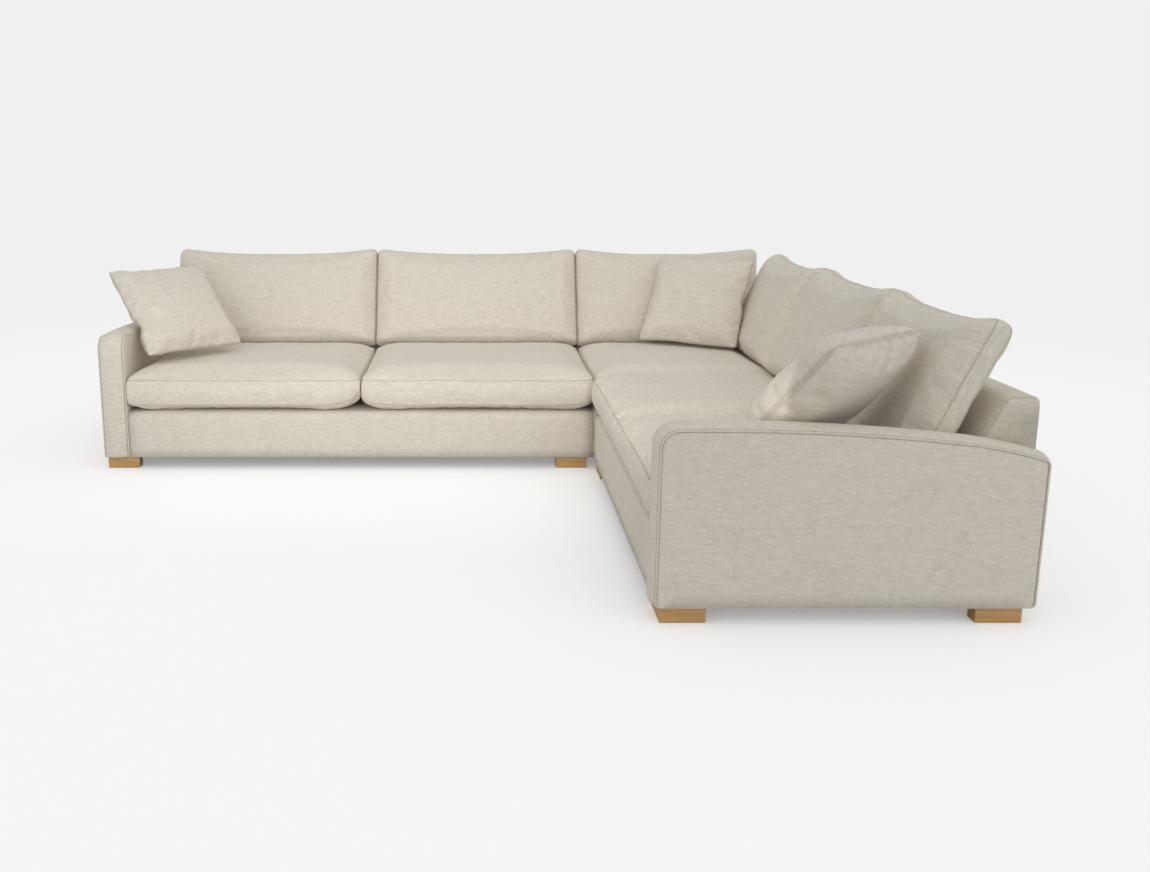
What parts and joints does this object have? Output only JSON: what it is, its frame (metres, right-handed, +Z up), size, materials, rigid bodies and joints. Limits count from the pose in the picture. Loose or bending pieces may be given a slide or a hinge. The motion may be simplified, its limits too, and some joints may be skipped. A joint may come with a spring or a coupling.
{
  "type": "corner sofa",
  "caption": "Corner sofa of joined units with slim arms, boxed seat and back cushions, scatter cushions and oak bracket feet.",
  "frame": {"origin": "middle of the footprint at floor level", "axes": "+X to the right along the long run, +Y towards the long run's back, +Z up; the short run comes forward along -Y at the right-hand end"},
  "size_m": [3.1066, 2.56, 0.8375],
  "materials": {
    "oak": "oiled oak, clear satin",
    "screw_steel": "zinc-plated",
    "plate_steel": "zinc-plated",
    "spring_steel": "drawn spring wire",
    "webbing": "elasticated webbing",
    "lining": "non-woven lining",
    "frame_timber": "sawn hardwood, unfinished",
    "piping_fabric": "woven linen-look, self-piped",
    "scatter_fabric": "woven linen-look",
    "cushion_fabric": "woven linen-look",
    "cover_fabric": "woven linen-look"
  },
  "bodies": {
    "sofa": {"corner_rear_back_cover": "cover_fabric", "corner_rear_back_frame": "frame_timber", "corner_rear_back_webbing": "webbing", "corner_side_back_cover": "cover_fabric", "corner_side_back_frame": "frame_timber", "corner_side_back_webbing": "webbing", "corner_unit_base_cover": "cover_fabric", "corner_unit_base_frame": "frame_timber", "corner_unit_dust_cover": "lining", "corner_unit_inner_foot": "oak", "corner_unit_left_foot": "oak", "corner_unit_outer_foot": "oak", "corner_unit_right_foot": "oak", "corner_unit_seat_springs": "spring_steel", "foot_bolts": "screw_steel", "left_arm_cover": "cover_fabric", "left_arm_frame": "frame_timber", "left_arm_piping": "piping_fabric", "left_back_cover": "cover_fabric", "left_back_frame": "frame_timber", "left_back_webbing": "webbing", "left_unit_base_cover": "cover_fabric", "left_unit_base_frame": "frame_timber", "left_unit_dust_cover": "lining", "left_unit_front_inner_foot": "oak", "left_unit_front_outer_foot": "oak", "left_unit_rear_inner_foot": "oak", "left_unit_rear_outer_foot": "oak", "left_unit_seat_springs": "spring_steel", "plate_screws": "screw_steel", "right_arm_cover": "cover_fabric", "right_arm_frame": "frame_timber", "right_arm_piping": "piping_fabric", "right_back_cover": "cover_fabric", "right_back_frame": "frame_timber", "right_back_webbing": "webbing", "right_unit_base_cover": "cover_fabric", "right_unit_base_frame": "frame_timber", "right_unit_dust_cover": "lining", "right_unit_front_far_foot": "oak", "right_unit_front_near_foot": "oak", "right_unit_rear_far_foot": "oak", "right_unit_rear_near_foot": "oak", "right_unit_seat_springs": "spring_steel", "unit_joining_plates": "plate_steel"},
    "left_seat_1": {"left_seat_cushion_1": "cushion_fabric"},
    "left_seat_2": {"left_seat_cushion_2": "cushion_fabric"},
    "corner_seat": {"corner_seat_cushion": "cushion_fabric"},
    "right_seat_1": {"right_seat_cushion_1": "cushion_fabric"},
    "right_seat_2": {"right_seat_cushion_2": "cushion_fabric"},
    "left_back_1": {"left_back_cushion_1": "cushion_fabric"},
    "left_back_2": {"left_back_cushion_2": "cushion_fabric"},
    "corner_rear_back": {"corner_rear_back_cushion": "cushion_fabric"},
    "corner_side_back": {"corner_side_back_cushion": "cushion_fabric"},
    "right_back_1": {"right_back_cushion_1": "cushion_fabric"},
    "right_back_2": {"right_back_cushion_2": "cushion_fabric"},
    "left_scatter": {"left_scatter_cushion": "scatter_fabric"},
    "corner_scatter": {"corner_scatter_cushion": "scatter_fabric"},
    "right_scatter": {"right_scatter_cushion": "scatter_fabric"}
  },
  "joints": [
    {"name": "left_seat_1_lift", "type": "slide", "parent": "sofa", "child": "left_seat_1", "axis": [0, 0, 1], "range_m": [0, 0.3]},
    {"name": "left_seat_2_lift", "type": "slide", "parent": "sofa", "child": "left_seat_2", "axis": [0, 0, 1], "range_m": [0, 0.3]},
    {"name": "corner_seat_lift", "type": "slide", "parent": "sofa", "child": "corner_seat", "axis": [0, 0, 1], "range_m": [0, 0.3]},
    {"name": "right_seat_1_lift", "type": "slide", "parent": "sofa", "child": "right_seat_1", "axis": [0, 0, 1], "range_m": [0, 0.3]},
    {"name": "right_seat_2_lift", "type": "slide", "parent": "sofa", "child": "right_seat_2", "axis": [0, 0, 1], "range_m": [0, 0.3]},
    {"name": "left_back_1_lift", "type": "slide", "parent": "left_seat_1", "child": "left_back_1", "axis": [0, 0.4226, 0.9063], "range_m": [0, 0.3]},
    {"name": "left_back_2_lift", "type": "slide", "parent": "left_seat_2", "child": "left_back_2", "axis": [0, 0.4226, 0.9063], "range_m": [0, 0.3]},
    {"name": "corner_rear_back_lift", "type": "slide", "parent": "corner_seat", "child": "corner_rear_back", "axis": [0, 0.4226, 0.9063], "range_m": [0, 0.3]},
    {"name": "corner_side_back_lift", "type": "slide", "parent": "corner_seat", "child": "corner_side_back", "axis": [0.4226, 0, 0.9063], "range_m": [0, 0.3]},
    {"name": "right_back_1_lift", "type": "slide", "parent": "right_seat_1", "child": "right_back_1", "axis": [0.4226, 0, 0.9063], "range_m": [0, 0.3]},
    {"name": "right_back_2_lift", "type": "slide", "parent": "right_seat_2", "child": "right_back_2", "axis": [0.4226, 0, 0.9063], "range_m": [0, 0.3]},
    {"name": "left_scatter_lift", "type": "slide", "parent": "left_back_1", "child": "left_scatter", "axis": [0, 0, 1], "range_m": [0, 0.3]},
    {"name": "corner_scatter_lift", "type": "slide", "parent": "corner_rear_back", "child": "corner_scatter", "axis": [0, 0, 1], "range_m": [0, 0.3]},
    {"name": "right_scatter_lift", "type": "slide", "parent": "right_back_2", "child": "right_scatter", "axis": [0, 0, 1], "range_m": [0, 0.3]}
  ]
}
